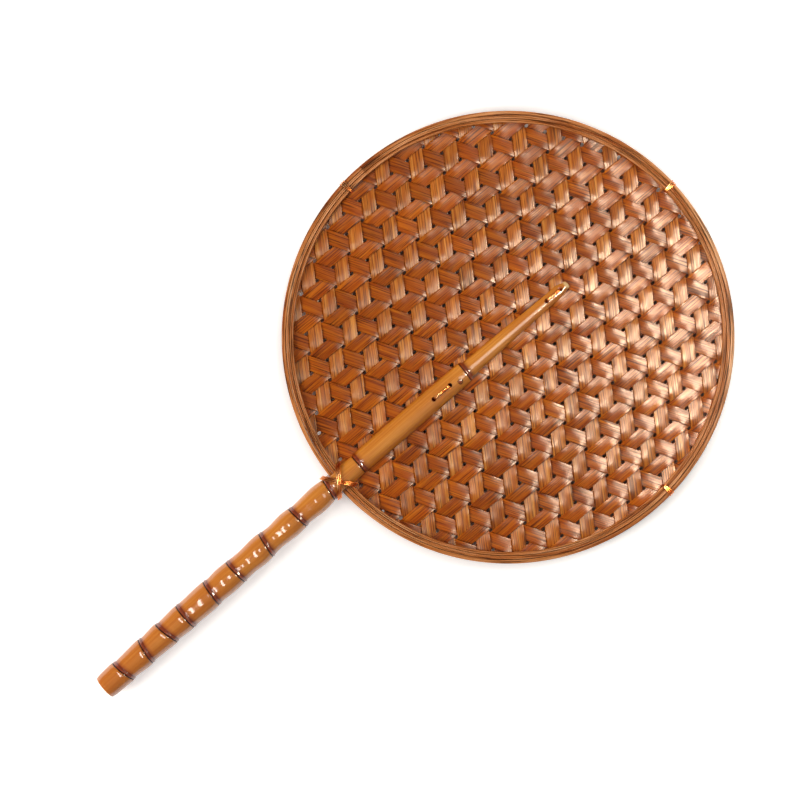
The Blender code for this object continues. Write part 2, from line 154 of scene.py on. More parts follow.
print("a strip rises", round(strip_height(0, 0) / MM, 2), "mm and dips",
      round(-strip_height(CROSSINGS / 2, 0) / MM, 2), "mm")

# %% [markdown]
# One strip is a flat grid of points, long and narrow. The operator makes the grid, and each point
# is then moved: lengthwise to the circle of the edge hoop, sideways to its row, and up or down
# with the wave. Uneven rows give the split edges and fine ridges that a knife leaves in bamboo.
# The wall comes last, from a Solidify modifier, so only one side has to be shaped.

# %% One strip
STRIP_WIDTH = 8.6 * MM
STRIP_THICKNESS = 0.3 * MM
STRIP_END = DISC_RADIUS - 6.0 * MM             # the ends are trapped in the edge hoop
END_CORNER = 0.5 * MM                          # the outermost strips stop this far inside it
LEAST_WIDTH = 1.0 * MM                         # a narrower strip is left out
COLUMN = 2.0 * MM
ROWS = (-1.0, -0.94, -0.62, -0.3, 0.0, 0.3, 0.62, 0.94, 1.0)
EDGE_DROP = 0.05 * MM
RIDGE = 0.035 * MM
MAP_SHIFT = (0.37, 0.013)                      # metres from strip to strip in the fibre pattern
SPLITS = random.Random(11)                     # one sequence, so each run gives the same fan


def add_strip(bm, layers, crest, step, number):
    """A flat grid, bent along the wave and ended on the circle of the edge hoop."""
    uv, tone = layers
    forward = step.normalized()
    leftward = Vector((-forward.y, forward.x))
    offset = crest.dot(leftward)
    limit = STRIP_END - END_CORNER
    left = min(offset + STRIP_WIDTH / 2, limit)
    right = max(offset - STRIP_WIDTH / 2, -limit)
    if left - right < LEAST_WIDTH:
        return 0
    inner = max(min(left, 0.0), right)
    columns = ceil(2 * sqrt(STRIP_END ** 2 - inner ** 2) / COLUMN)
    made = bmesh.ops.create_grid(
        bm, x_segments=columns, y_segments=len(ROWS) - 1, size=0.5)["verts"]
    ridges = [SPLITS.uniform(-RIDGE, RIDGE) for _ in ROWS]
    shade = SPLITS.random()
    for vert in made:
        row = round((vert.co.y + 0.5) * (len(ROWS) - 1))
        place = (left + right) / 2 + ROWS[row] * (left - right) / 2
        reach = vert.co.x * 2 * sqrt(STRIP_END ** 2 - place ** 2)
        steps = (reach - crest.dot(forward)) / step.length
        height = strip_height(steps, 2 * (place - offset) / STRIP_WIDTH)
        height += -EDGE_DROP if row in (0, len(ROWS) - 1) else ridges[row]
        spot = leftward * place + forward * reach
        vert.co = (spot.x, spot.y, height + STRIP_THICKNESS / 2)
        vert[tone] = shade
        for loop in vert.link_loops:
            loop[uv].uv = (reach + MAP_SHIFT[0] * number, place - offset + MAP_SHIFT[1] * number)
    return 1


print("a strip has", len(ROWS), "rows of points and a column every", COLUMN / MM, "mm")

# %% [markdown]
# A family is the same strip again and again, each one row over and one crossing further on. An
# array modifier could repeat it, but each strip ends on the circle and has ridges and a tone of
# its own, so a loop places them. A little function per family says where its crests are.

# %% The three families
def weave_family(name, step, crest_of):
    bm = bmesh.new()
    layers = bm.loops.layers.uv.new("strip"), bm.verts.layers.float.new("tone")
    half_count = ceil(DISC_RADIUS / (STRIP_WIDTH / 2)) // 2
    count = 0
    for number in range(-half_count, half_count):
        count += add_strip(bm, layers, crest_of(number + 0.5), step, number)
    piece = finish_piece(name, bm)
    wall = piece.modifiers.new("thickness", "SOLIDIFY")
    wall.thickness = STRIP_THICKNESS
    wall.offset = -1.0
    print(name, count, "strips")
    return piece


strips = [
    weave_family("strips_along", along,
                 lambda row: FIRST_HOLE + along * (1.5 + 2 * row) + across * row),
    weave_family("strips_across", across,
                 lambda row: FIRST_HOLE + along * row - across * (1.5 + row)),
    weave_family("strips_third", third,
                 lambda row: FIRST_HOLE + along * 2 * row + across * row),
]
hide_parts("woven_panel")

# %% [markdown]
# ## The rim
#
# The rim is bent from split bamboo too: flat hoops on both faces that pinch the weave, and a
# standing hoop outside that closes it. A hoop could be a curve with a bevel, but a small section
# turned about the middle of the disc gives each ridge its exact place. The spin operator does
# that. Afterwards a map is laid along each hoop, because its fibres follow the circle.

# %% Turned hoops
OUTER_THICKNESS = 2.4 * MM
FACE_WIDTH, FACE_HEIGHT = 2.1 * MM, 2.0 * MM
FACE_BASE = 2.1 * MM                           # from the middle of the weave to the face hoops
GAP = 0.3 * MM
RIM_INNER = DISC_RADIUS - OUTER_THICKNESS - 2 * (FACE_WIDTH + GAP)
RIM_STEPS = 288
MERGE = 0.01 * MM                              # points closer than this become one
SHARP = radians(50)                            # edges steeper than this stay sharp


def spin_round(bm, axis, steps):
    """Turn all that is in the bmesh through a full circle."""
    bmesh.ops.spin(
        bm, geom=bm.verts[:] + bm.edges[:], cent=(0.0, 0.0, 0.0), axis=axis,
        angle=tau, steps=steps, use_merge=True, use_normal_flip=False)
    bmesh.ops.remove_doubles(bm, verts=bm.verts, dist=MERGE)


def spun_section(section):
    """A closed section of (radius, height) points, turned about the middle of the disc."""
    bm = bmesh.new()
    points = [bm.verts.new((radius, 0.0, height)) for radius, height in section]
    for place, point in enumerate(points):
        bm.edges.new((point, points[(place + 1) % len(points)]))
    spin_round(bm, (0.0, 0.0, 1.0), RIM_STEPS)
    bmesh.ops.recalc_face_normals(bm, faces=bm.faces)
    return bm


def unroll(bm):
    """A map that runs along the hoop and round its section, in metres."""
    uv = bm.loops.layers.uv.new("hoop")
    for face in bm.faces:
        middle = face.calc_center_median()
        middle_angle = atan2(middle.y, middle.x)
        for loop in face.loops:
            spot = loop.vert.co
            angle = atan2(spot.y, spot.x)
            if angle - middle_angle > pi:
                angle -= tau
            elif middle_angle - angle > pi:
                angle += tau
            loop[uv].uv = (angle * DISC_RADIUS, hypot(spot.x, spot.y) + spot.z)


def turned_hoop(name, section):
    bm = spun_section(section)
    unroll(bm)
    piece = finish_piece(name, bm)
    piece.data.set_sharp_from_angle(angle=SHARP)
    return piece


print("the rim is", round((DISC_RADIUS - RIM_INNER) / MM, 1), "mm wide")

# %% [markdown]
# Each face hoop is a bundle of split slivers laid side by side, which shows as two or three
# ridges with dark lines between them. Bump could draw the lines, but the rim is seen from the
# side too, so the section has them: up to a rounded top, and down into the line before the next.

# %% The face hoops
SLIVER_DEPTH = 0.42 * MM                       # of the line between two slivers
# The top of one sliver: place as a share of its width, drop as a share of the line's depth
SLIVER_TOP = ((0.06, 1.0), (0.22, 0.25), (0.50, 0.0), (0.78, 0.25), (0.94, 1.0))
# The hoop of each place: where it starts, how wide its slivers are, and the top of its ridges
FACE_HOOPS = (
    ("inner", RIM_INNER, (1.25 * MM, 0.85 * MM), FACE_BASE + 1.7 * MM),
    ("outer", RIM_INNER + FACE_WIDTH + GAP, (0.9 * MM, 1.2 * MM), FACE_BASE + FACE_HEIGHT))


def sliver_section(start, widths, top):
    """Up the inner side, over the slivers and down the outer side."""
    points, place = [(start, FACE_BASE)], start
    for width in widths:
        points += [(place + share * width, top - drop * SLIVER_DEPTH)
                   for share, drop in SLIVER_TOP]
        place += width
    return [*points, (start + FACE_WIDTH, FACE_BASE)]


hoops = []
for side, sign in (("front", 1), ("back", -1)):
    for place, *sizes in FACE_HOOPS:
        section = [(radius, sign * height) for radius, height in sliver_section(*sizes)]
        hoops.append(turned_hoop(f"{side}_{place}_slivers", section))
        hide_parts(f"{side}_{place}_hoop")

# %% [markdown]
# The standing hoop is one thick split of the culm's skin. Its outer corners are planed round, so
# it falls away at the edge, and that is why it looks darker at its very edge. The thin edge hoop
# in the middle of the rim is hidden, but it closes the rim where one looks between the hoops.
# Both are the same kind of turned section.

# %% The outer hoop and the edge hoop
OUTER_HALF = 3.6 * MM
FLAT_SHARE = 0.72                              # of the half height stays at the planed corner
# The planed top: place as a share of the thickness, rise as a share of what is planed away
CROWN = ((0.0, 1.0), (0.35, 0.97), (0.65, 0.84), (0.88, 0.6), (1.0, 0.25))

inner_wall = DISC_RADIUS - OUTER_THICKNESS
crown = [(inner_wall + share * OUTER_THICKNESS, OUTER_HALF * (FLAT_SHARE + (1 - FLAT_SHARE) * rise))
         for share, rise in CROWN]
outer = turned_hoop("outer_band", crown + [(radius, -height) for radius, height in crown[::-1]])
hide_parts("outer_hoop")
core_inner, core_outer, core_half = RIM_INNER + GAP, inner_wall - GAP, FACE_BASE - GAP
edge = turned_hoop("edge_hoop", [
    (core_inner, -core_half), (core_inner, core_half),
    (core_outer, core_half), (core_outer, -core_half)])
hoops += [outer, edge]

# %% [markdown]
# ## The handle
#
# The handle is one length of knotty bamboo. Its joints are close together because it is cut low
# on the culm, and every joint is a dark scar with a raised lip, usually not square to the culm.
# From the rim on it is sawn along the middle, so that one tongue lies over each face.
#
# It could be sculpted, but a culm grows round, so a turned form fits: a profile of distances and
# radii is spun, its rings are then sloped and the whole is bowed a little. The saw cut, the notch
# for the rim and the awl holes are cut last, as on the real one.

# %% Joints and widths of the culm
# Each joint: distance from the butt, slope of its scar, and how deep and dark it is
JOINTS_MM = (
    (15.5, 0.20, 1.0), (34.1, -0.15, 1.0), (51.2, 0.20, 1.0), (66.6, 0.0, 1.0),
    (88.3, -0.09, 1.0), (108.2, 0.06, 1.0), (133.4, -0.15, 1.0), (159.3, 0.10, 1.0),
    (185.2, -0.16, 1.0), (209.5, 0.01, 0.9), (296.5, -0.06, 0.8))
# Widths as seen from the front: distance from the butt, width
WIDTHS_MM = (
    (0.0, 15.2), (1.2, 16.0), (4.3, 16.6), (11.0, 17.1), (14.3, 17.2), (17.3, 15.8), (22.0, 16.3),
    (30.4, 17.7), (33.0, 17.6), (36.5, 16.5), (42.0, 17.2), (48.9, 18.1), (50.4, 18.0),
    (52.7, 16.6), (58.0, 17.3), (63.8, 18.2), (65.8, 18.1), (71.2, 17.4), (80.5, 18.2),
    (86.8, 18.1), (91.7, 17.0), (99.1, 18.1), (106.0, 17.7), (112.0, 16.7), (117.7, 16.3),
    (127.0, 17.9), (132.0, 17.5), (137.0, 15.8), (141.9, 15.4), (151.2, 17.1), (157.5, 16.6),
    (162.3, 15.1), (167.0, 15.5), (175.3, 16.7), (183.0, 15.6), (184.6, 14.6), (188.3, 15.0),
    (198.0, 14.6), (207.0, 13.6), (211.5, 13.5), (230.0, 14.1), (255.0, 14.2), (285.0, 13.9),
    (294.5, 13.7), (296.8, 13.3), (299.5, 10.9), (330.0, 9.3), (360.0, 7.8), (376.2, 7.2),
    (377.6, 5.2), (380.5, 4.4))
HANDLE_LENGTH = BUTT_DISTANCE + TONGUE_REACH
print("the culm has", len(JOINTS_MM), "joints on", round(HANDLE_LENGTH / MM, 1), "mm")

# %% [markdown]
# Between the measured widths the outline has to run on smoothly, or the lacquer would break each
# highlight at every entry of the table. A curve that passes through its entries with one slope on
# both sides does that. At a joint, three soft bumps are added to it: the scar cuts in, a lip
# stands up just above it, and a fine ring follows. Past the neck the width is that of a tongue,
# and the culm's radius is worked out from it and the saw cut.

# %% The radius of the culm
SLOT_HALF = 1.8 * MM                           # half the saw cut between the tongues
NECK = 209.5 * MM                              # the joint above the rim
SCAR_DEPTH, SCAR_WIDTH = 0.42 * MM, 0.32 * MM
LIP_HEIGHT, LIP_PLACE, LIP_WIDTH = 0.36 * MM, 1.0 * MM, 0.55 * MM
RING_DEPTH, RING_PLACE, RING_WIDTH = 0.12 * MM, 2.1 * MM, 0.3 * MM
TIP_LENGTH = 0.9 * MM                          # the end of the tongues is rounded over this
TIP_LEAST = 0.45                               # share of the width that is left at the very end


def curve_through(table, distance):
    """A value from a table of (distance, value), on one smooth curve through its entries."""
    distance = min(max(distance, table[0][0]), table[-1][0])
    number = next(place for place in range(1, len(table)) if distance <= table[place][0])
    (start, low), (end, high) = table[number - 1:number + 1]
    before, after = table[max(number - 2, 0)], table[min(number + 1, len(table) - 1)]
    leaving = (high - before[1]) / (end - before[0]) * (end - start)
    arriving = (after[1] - low) / (after[0] - start) * (end - start)
    share = (distance - start) / (end - start)
    rest = 1 - share
    return (low * (1 + 2 * share) * rest ** 2 + high * (1 + 2 * rest) * share ** 2
            + leaving * share * rest ** 2 - arriving * rest * share ** 2)


def culm_radius(distance):
    half_width = curve_through(WIDTHS_MM, distance / MM) * MM / 2
    if distance > NECK:
        half_width = hypot(half_width, SLOT_HALF)
    for place, _, depth in JOINTS_MM:
        past = distance - place * MM
        half_width -= depth * SCAR_DEPTH * exp(-(past / SCAR_WIDTH) ** 2)
        half_width += depth * LIP_HEIGHT * exp(-((past - LIP_PLACE) / LIP_WIDTH) ** 2)
        half_width -= depth * RING_DEPTH * exp(-((past - RING_PLACE) / RING_WIDTH) ** 2)
    left = HANDLE_LENGTH - distance
    if left < TIP_LENGTH:
        half_width *= TIP_LEAST + (1 - TIP_LEAST) * sqrt(max(0.0, 1 - (1 - left / TIP_LENGTH) ** 2))
    return half_width


print("radius of the culm at the rim:",
      round(culm_radius(BUTT_DISTANCE - DISC_RADIUS) / MM, 2), "mm")

# %% [markdown]
# The rings of a turned form needn't be evenly spaced. They stand close where the outline changes
# fast, at the joints, the bud and the two ends, and 3 mm apart elsewhere, which keeps the mesh
# light.

# %% Where the rings are
RING_EVERY = 3.0 * MM
# Past each joint, from the butt, in from the tip as shares of its rounding, and over the bud
JOINT_RINGS_MM = (-1.6, -1.0, -0.6, -0.3, 0.0, 0.3, 0.6, 1.0, 1.4, 1.8, 2.1, 2.4, 3.0)
BUTT_RINGS_MM = (0.0, 0.25, 0.6)
TIP_RINGS = (0.06, 0.2, 0.4, 0.65, 1.0)
BUD_RINGS = (-1.6, -1.1, -0.7, -0.35, 0.0, 0.35, 0.7, 1.1, 1.6)
BUD_DISTANCE, BUD_X = 290.4 * MM, 1.2 * MM     # a round bud scar just below the last joint
BUD_RADIUS, BUD_HEIGHT = 1.5 * MM, 0.5 * MM


def ring_places():
    places = {place * MM for place in BUTT_RINGS_MM} | {HANDLE_LENGTH}
    places.update(HANDLE_LENGTH - TIP_LENGTH * share for share in TIP_RINGS)
    places.update((joint + past) * MM for joint, _, _ in JOINTS_MM for past in JOINT_RINGS_MM)
    places.update(BUD_DISTANCE + BUD_RADIUS * share for share in BUD_RINGS)
    count = round(HANDLE_LENGTH / RING_EVERY)
    for number in range(1, count):
        place = number * HANDLE_LENGTH / count
        if min(abs(place - other) for other in places) > RING_EVERY / 3:
            places.add(place)
    return sorted(places)


print("rings of the culm:", len(ring_places()))

# %% [markdown]
# After the spin each point slides along the culm by its slope times its place sideways, which
# tilts the rings, and the whole follows the bowed middle line. The slope eases from one joint to
# the next. The bud is a soft bump on the front.

# %% The culm as a turned form
BOW, BUTT_SHIFT = 1.2 * MM, 0.3 * MM           # how far the culm curves, and where its butt is
BUTT_ROUND = 0.965                             # the sawn edge of the butt is worn round
HANDLE_STEPS = 64


def eased_between(table, distance):
    """A value from a table of (distance, value), eased between its entries."""
    for (start, low), (end, high) in zip(table, table[1:]):
        if distance <= end:
            share = max(0.0, (distance - start) / (end - start))
            return low + (high - low) * (1 - cos(pi * share)) / 2
    return table[-1][1]


def joint_slope(distance):
    table = [(0.0, 0.0), *((place, slope) for place, slope, _ in JOINTS_MM),
             (HANDLE_LENGTH / MM, 0.0)]
    return eased_between(table, distance / MM)


def middle_line(distance):
    share = distance / NECK - 1
    return -BUTT_SHIFT - BOW * (1 - min(1.0, share ** 2))


def bud_distance(spot):
    """How far a point of the front lies from the bud, in bud radii."""
    return hypot(spot.x - BUD_X, spot.y + BUTT_DISTANCE - BUD_DISTANCE) / BUD_RADIUS


def culm_mesh():
    """The culm with its saw cut not yet made, along +Y from its butt."""
    bm = bmesh.new()
    points = [
        bm.verts.new((culm_radius(place) * (1.0 if place else BUTT_ROUND), place, 0.0))
        for place in ring_places()]
    for lower, upper in zip(points, points[1:]):
        bm.edges.new((lower, upper))
    spin_round(bm, (0.0, 1.0, 0.0), HANDLE_STEPS)
    bmesh.ops.holes_fill(bm, edges=[edge for edge in bm.edges if edge.is_boundary], sides=0)
    for vert in bm.verts:
        distance = vert.co.y
        vert.co.y = distance + joint_slope(distance) * vert.co.x - BUTT_DISTANCE
        vert.co.x += middle_line(distance)
        if vert.co.z > 0:
            vert.co.z += BUD_HEIGHT * exp(-bud_distance(vert.co) ** 2)
    bmesh.ops.recalc_face_normals(bm, faces=bm.faces)
    return bm


print("the culm is bowed by", BOW / MM, "mm")

# %% [markdown]
# The real tongues are made with a saw, the seat for the rim with a knife and the holes for the
# stitches with an awl. A plain solid stands for each tool, and a Boolean modifier takes it away:
# a long box for the saw cut, a turned section for the rim, and round pins for the awl.

# %% Cutters for the saw cut, the rim and the awl holes
SLOT_START = (RIM_INNER + DISC_RADIUS) / 2     # the saw cut begins in the middle of the rim
STITCH_HOLES = (-59.8 * MM, -46.8 * MM, 32.6 * MM, 43.7 * MM)
STITCH_X = -1.2 * MM
STITCH_RADIUS = 1.45 * MM
PIN_SIDES = 24
CUTTER_REACH = 20.0 * MM
NOTCH_HALF = FACE_BASE + FACE_HEIGHT + GAP


def slot_cutter():
    bm = bmesh.new()
    bmesh.ops.create_cube(bm, size=1.0)
    end = TONGUE_REACH + CUTTER_REACH
    bmesh.ops.scale(
        bm, vec=(2 * CUTTER_REACH, end + SLOT_START, 2 * SLOT_HALF), verts=bm.verts)
    bmesh.ops.translate(bm, vec=(0.0, (end - SLOT_START) / 2, 0.0), verts=bm.verts)
    return new_object("slot_cutter", bm)


def notch_cutter():
    inner, outer = RIM_INNER - GAP, DISC_RADIUS + GAP
    return new_object("notch_cutter", spun_section((
        (inner, -NOTCH_HALF), (inner, NOTCH_HALF), (outer, NOTCH_HALF), (outer, -NOTCH_HALF))))


def hole_cutter():
    bm = bmesh.new()
    for place in STITCH_HOLES:
        bmesh.ops.create_cone(
            bm, cap_ends=True, segments=PIN_SIDES, radius1=STITCH_RADIUS, radius2=STITCH_RADIUS,
            depth=2 * CUTTER_REACH, matrix=Matrix.Translation((STITCH_X, place, 0.0)))
    return new_object("hole_cutter", bm)


print("the saw cut is", 2 * SLOT_HALF / MM, "mm wide, with", len(STITCH_HOLES), "holes past it")

# %% [markdown]
# The culm is darker and redder close to its joints, nearly black in the scars, and pale where it
# was sawn. A painted picture could say where, but these follow the distance along the culm, so
# the mesh carries them as numbers on its vertices that the material reads. A map that runs along
# and round the culm carries its fibres.

# %% What the handle's material reads
LIP_END, LIP_FADE, BACK_FADE = 2.4 * MM, 1.6 * MM, 0.7 * MM
SCAR_STAIN = 0.42 * MM                         # the dark of a scar is a little wider than its cut
RING_STAIN, BUD_STAIN = 0.55, 0.75             # darkness of the fine ring and of the bud's edge
BUD_EDGE = 0.3                                 # width of that edge, in bud radii
BUTT_PALE, TIP_PALE = 0.3 * MM, 3.0 * MM       # how far the sawn wood shows at each end
MAP_RADIUS = 8.0 * MM
LEFT_STRETCH = 1.7                             # so the two sides don't mirror each other


def shade_joints(bm):
    scar = bm.verts.layers.float.new("scar")
    near = bm.verts.layers.float.new("near_joint")
    sawn = bm.verts.layers.float.new("sawn")
    uv = bm.loops.layers.uv.new("culm")
    for vert in bm.verts:
        y = vert.co.y + BUTT_DISTANCE
        distance = y - joint_slope(y) * (vert.co.x - middle_line(y))
        pasts = [(distance - place * MM, dark) for place, _, dark in JOINTS_MM]
        vert[scar] = max(
            dark * (exp(-(past / SCAR_STAIN) ** 2)
                    + RING_STAIN * exp(-((past - RING_PLACE) / RING_WIDTH) ** 2))
            for past, dark in pasts)
        vert[near] = max(
            exp(-max(past - LIP_END, 0.0) / LIP_FADE) * exp(min(past, 0.0) / BACK_FADE)
            for past, _ in pasts)
        if vert.co.z > 0:
            away = bud_distance(vert.co)
            vert[near] = max(vert[near], exp(-away ** 4))
            vert[scar] = max(vert[scar], BUD_STAIN * exp(-((away - 1.0) / BUD_EDGE) ** 2))
        to_tip = max(0.0, HANDLE_LENGTH - y)
        vert[sawn] = max(exp(-(y / BUTT_PALE) ** 2), exp(-(to_tip / TIP_PALE) ** 4))
    for face in bm.faces:
        stretch = 1.0 if face.calc_center_median().x > 0 else LEFT_STRETCH
        for loop in face.loops:
            spot = loop.vert.co
            turn = abs(atan2(spot.x - middle_line(spot.y + BUTT_DISTANCE), spot.z))
            loop[uv].uv = (spot.y, stretch * turn * MAP_RADIUS)


print("stain reaches", (LIP_END + LIP_FADE) / MM, "mm past a joint")

# %% [markdown]
# Now the culm is put together. Its modifiers are worked out into a new mesh, because the shading
# numbers belong on the points that the cuts leave, and the cutters are thrown away.

# %% The finished handle
HANDLE_SHARP = radians(42)


def evaluated_mesh(thing):
    """The mesh that a curve's bevel or an object's modifiers make."""
    bpy.context.view_layer.update()
    graph = bpy.context.evaluated_depsgraph_get()
    return bpy.data.meshes.new_from_object(thing.evaluated_get(graph))


def build_handle():
    blank = new_object("culm_blank", culm_mesh())
    cutters = [slot_cutter(), notch_cutter(), hole_cutter()]
    for thing in cutters:
        cut = blank.modifiers.new("cut", "BOOLEAN")
        cut.operation, cut.solver, cut.object = "DIFFERENCE", "EXACT", thing
    bm = bmesh.new()
    bm.from_mesh(evaluated_mesh(blank))
    for thing in (blank, *cutters):
        bpy.data.objects.remove(thing)
    shade_joints(bm)
    made = finish_piece("culm_handle", bm)
    made.data.set_sharp_from_angle(angle=HANDLE_SHARP)
    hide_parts("handle")
    return made


handle = build_handle()

# %% [markdown]
# ## The wires
#
# Copper wire ties the rim at three places, crosses over the handle where it meets the rim, and
# stitches the tongues together through awl holes. Each is one unbroken wire. A curve with a round
# bevel is the way to draw one, and it is then made a mesh, because a curve's box reaches further
# than its tube. The ends of the tube are welded shut.

# %% One wire
WIRE_RADIUS = 0.45 * MM
WIRE_STEP = 1.05 * MM                          # from turn to turn
SEAT = 0.45 * MM                               # from a surface to the middle of a wire on it


def wire(name, points):
    curve = bpy.data.curves.new(name, "CURVE")
    curve.dimensions = "3D"
    curve.bevel_depth = WIRE_RADIUS
    curve.bevel_resolution = 3
    curve.resolution_u = 4
    curve.use_fill_caps = True
    line = curve.splines.new("NURBS")
    line.points.add(len(points) - 1)
    for spot, point in zip(line.points, points):
        spot.co = (*point, 1.0)
    line.order_u = 3
    line.use_endpoint_u = True
    drawn = bpy.data.objects.new(name, curve)
    bpy.context.scene.collection.objects.link(drawn)
    tube = evaluated_mesh(drawn)
    bpy.data.objects.remove(drawn)
    bm = bmesh.new()
    bm.from_mesh(tube)
    bmesh.ops.remove_doubles(bm, verts=bm.verts, dist=MERGE)
    bmesh.ops.recalc_face_normals(bm, faces=bm.faces)
    piece = finish_piece(name, bm)
    piece.data.set_sharp_from_angle(angle=SHARP)
    return piece


print("the wire is", 2 * WIRE_RADIUS / MM, "mm thick")

# %% [markdown]
# A tie goes three times round the rim and through the weave just inside it. One turn is a short
# table of points round the rim's section, and the turns stand side by side. They spread a little
# at the outside, as hand-wound wire does. The last turn stops behind, where its end is hidden.

# %% The rim ties
TIE_ANGLES = (radians(5.3), radians(92.0), radians(186.0))
TIE_TURNS = 3
LAST_POINTS = 9                                # of the last turn, up to its end behind
inner, outside = RIM_INNER - SEAT, DISC_RADIUS + SEAT
corner = DISC_RADIUS - 1.0 * MM
middle = (RIM_INNER + DISC_RADIUS) / 2
half = FACE_BASE + FACE_HEIGHT
# One turn: distance from the middle of the disc, height, and how much the turns spread there
TIE_TURN = (
    (inner, -1.2 * MM, 0.35), (inner, 1.5 * MM, 0.35), (inner + 0.2 * MM, half, 0.4),
    (inner + 1.5 * MM, half + SEAT, 0.6), (middle, half + SEAT, 0.9),
    (corner, half + SEAT * 0.6, 1.15), (outside, 2.4 * MM, 1.3), (outside, 0.0, 1.3),
    (outside, -2.4 * MM, 1.3), (corner, -half - SEAT * 0.6, 1.15),
    (middle, -half - SEAT, 0.9), (inner + 1.5 * MM, -half - SEAT, 0.6),
    (inner + 0.2 * MM, -half, 0.4))


def rim_tie(name, angle):
    outward = Vector((cos(angle), sin(angle), 0.0))
    sideways = Vector((-sin(angle), cos(angle), 0.0))
    points = []
    for turn in range(TIE_TURNS):
        spread = (turn - (TIE_TURNS - 1) / 2) * WIRE_STEP
        shown = TIE_TURN[:LAST_POINTS] if turn == TIE_TURNS - 1 else TIE_TURN
        points += [outward * radius + sideways * spread * share + Vector((0, 0, height))
                   for radius, height, share in shown]
    piece = wire(f"{name}_wire", points)
    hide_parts(name)
    return piece


wires = [rim_tie(name, angle)
         for name, angle in zip(("right_tie", "top_tie", "left_tie"), TIE_ANGLES)]

# %% [markdown]
# A stitch goes through two awl holes and back, three times, and pulls both tongues against the
# weave. On the front its strands are twisted together, so each runs on a helix about their common
# middle, started at its own angle. Behind, they run straight.

# %% The stitches through the tongues
STITCH_TURNS = 3
STITCH_LEAN = 0.6 * MM                         # the wire lies against the inner side of its holes
TWISTS, TWIST_POINTS = 1.5, 14
TWIST_RADIUS, TWIST_LIFT = 0.55 * MM, 0.8      # the lift is a share of the radius
HOLE_MOUTH = 0.9                               # share of the height where the wire bends over
BEND = 1.2 * MM


def stitch(name, low, high):
    low, high = low + STITCH_LEAN, high - STITCH_LEAN
    height = culm_radius((low + high) / 2 + BUTT_DISTANCE) + SEAT
    mouth = height * HOLE_MOUTH
    points = []
    for turn in range(STITCH_TURNS):
        inside = (turn - (STITCH_TURNS - 1) / 2) * WIRE_STEP / 2
        strand = [(inside, low, 0.0), (inside, low, mouth)]
        for number in range(TWIST_POINTS):
            share = (number + 0.5) / TWIST_POINTS
            around = tau * (TWISTS * share + turn / STITCH_TURNS)
            strand.append((TWIST_RADIUS * cos(around), low + (high - low) * share,
                           height + TWIST_RADIUS * (TWIST_LIFT + sin(around))))
        strand += [(inside, high, mouth), (inside, high, 0.0)]
        if turn < STITCH_TURNS - 1:
            strand += [(inside, high, -mouth), (inside, high - BEND, -height),
                       (inside, low + BEND, -height), (inside, low, -mouth)]
        points += [Vector((STITCH_X + side, place, rise)) for side, place, rise in strand]
    piece = wire(f"{name}_wire", points)
    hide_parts(name)
    return piece


wires.append(stitch("lower_stitch", *STITCH_HOLES[:2]))
wires.append(stitch("upper_stitch", *STITCH_HOLES[2:]))

# %% [markdown]
# The binding at the rim is a cross lashing: it runs over the handle from one side of the rim to
# the other, so that its turns cross in an X in front, and goes straight round behind. Each leg is
# half an ellipse over the handle, and every second leg passes over the one before it, one wire
# higher. Three rounds lie below each other.

# %% The binding
BINDING_LOW = -DISC_RADIUS - 3.0 * MM
BINDING_HIGH = -RIM_INNER + 3.4 * MM
BINDING_REACH = 8.9 * MM                       # from the middle line to where the wire turns back
BINDING_ROUNDS = 3
ROUND_STEP = 1.15 * WIRE_STEP
LEG_POINTS = 10


def binding():
    middle = middle_line(BUTT_DISTANCE - SLOT_START)
    left, right = -BINDING_REACH, BINDING_REACH
    base = max(culm_radius(BUTT_DISTANCE + place) for place in (BINDING_LOW, BINDING_HIGH)) + SEAT
    over = base + WIRE_RADIUS * 2.1
    points = []
    for number in range(BINDING_ROUNDS):
        low, high = BINDING_LOW - number * ROUND_STEP, BINDING_HIGH - number * ROUND_STEP
        legs = [
            ((left, low), (right, high), base), ((right, high), (left, high), -base),
            ((left, high), (right, low), over), ((right, low), (left, low), -base)]
        if number == BINDING_ROUNDS - 1:
            legs = legs[:3]
        for start, end, height in legs:
            for place in range(LEG_POINTS):
                turn = pi * place / LEG_POINTS
                share = (1 - cos(turn)) / 2
                points.append(Vector((
                    middle + start[0] + (end[0] - start[0]) * share,
                    start[1] + (end[1] - start[1]) * share, height * sin(turn))))
    piece = wire("cross_binding_wire", points)
    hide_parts("handle_binding")
    return piece


wires.append(binding())
print("wires:", [piece.name for piece in wires])

# %% [markdown]
# ## Materials
#
# A material is a small tree of nodes round one shader. Colours are written as they look on a
# screen, in sRGB hex, and a shader wants them linear. One function adds any node, and each of its
# inputs is given a number, a colour or the output of another node.

# %% Helpers for materials
MIX_FACTOR, MIX_A, MIX_B, MIX_RESULT = 0, 6, 7, 2     # colour sockets of a Mix node
PER_METRE = 1000.0                                    # patterns are sized in mm


def colour(text):
    channels = [int(text[place:place + 2], 16) / 255 for place in (1, 3, 5)]
    return (*(part / 12.92 if part <= 0.04045 else ((part + 0.055) / 1.055) ** 2.4
              for part in channels), 1.0)


def set_inputs(node, inputs):
    for socket, value in dict(inputs).items():
        if isinstance(value, bpy.types.NodeSocket):
            node.id_data.links.new(value, node.inputs[socket])
        else:
            node.inputs[socket].default_value = colour(value) if isinstance(value, str) else value


def add_node(tree, kind, inputs=(), stops=(), **settings):
    """A node with its settings, its inputs, and the colour stops of a ramp."""
    node = tree.nodes.new(kind)
    for name, value in settings.items():
        setattr(node, name, value)
    set_inputs(node, inputs)
    if stops:
        elements = node.color_ramp.elements
        while len(elements) < len(stops):
            elements.new(1.0)
        for element, (place, text) in zip(elements, stops):
            element.position, element.color = place, colour(text)
    return node


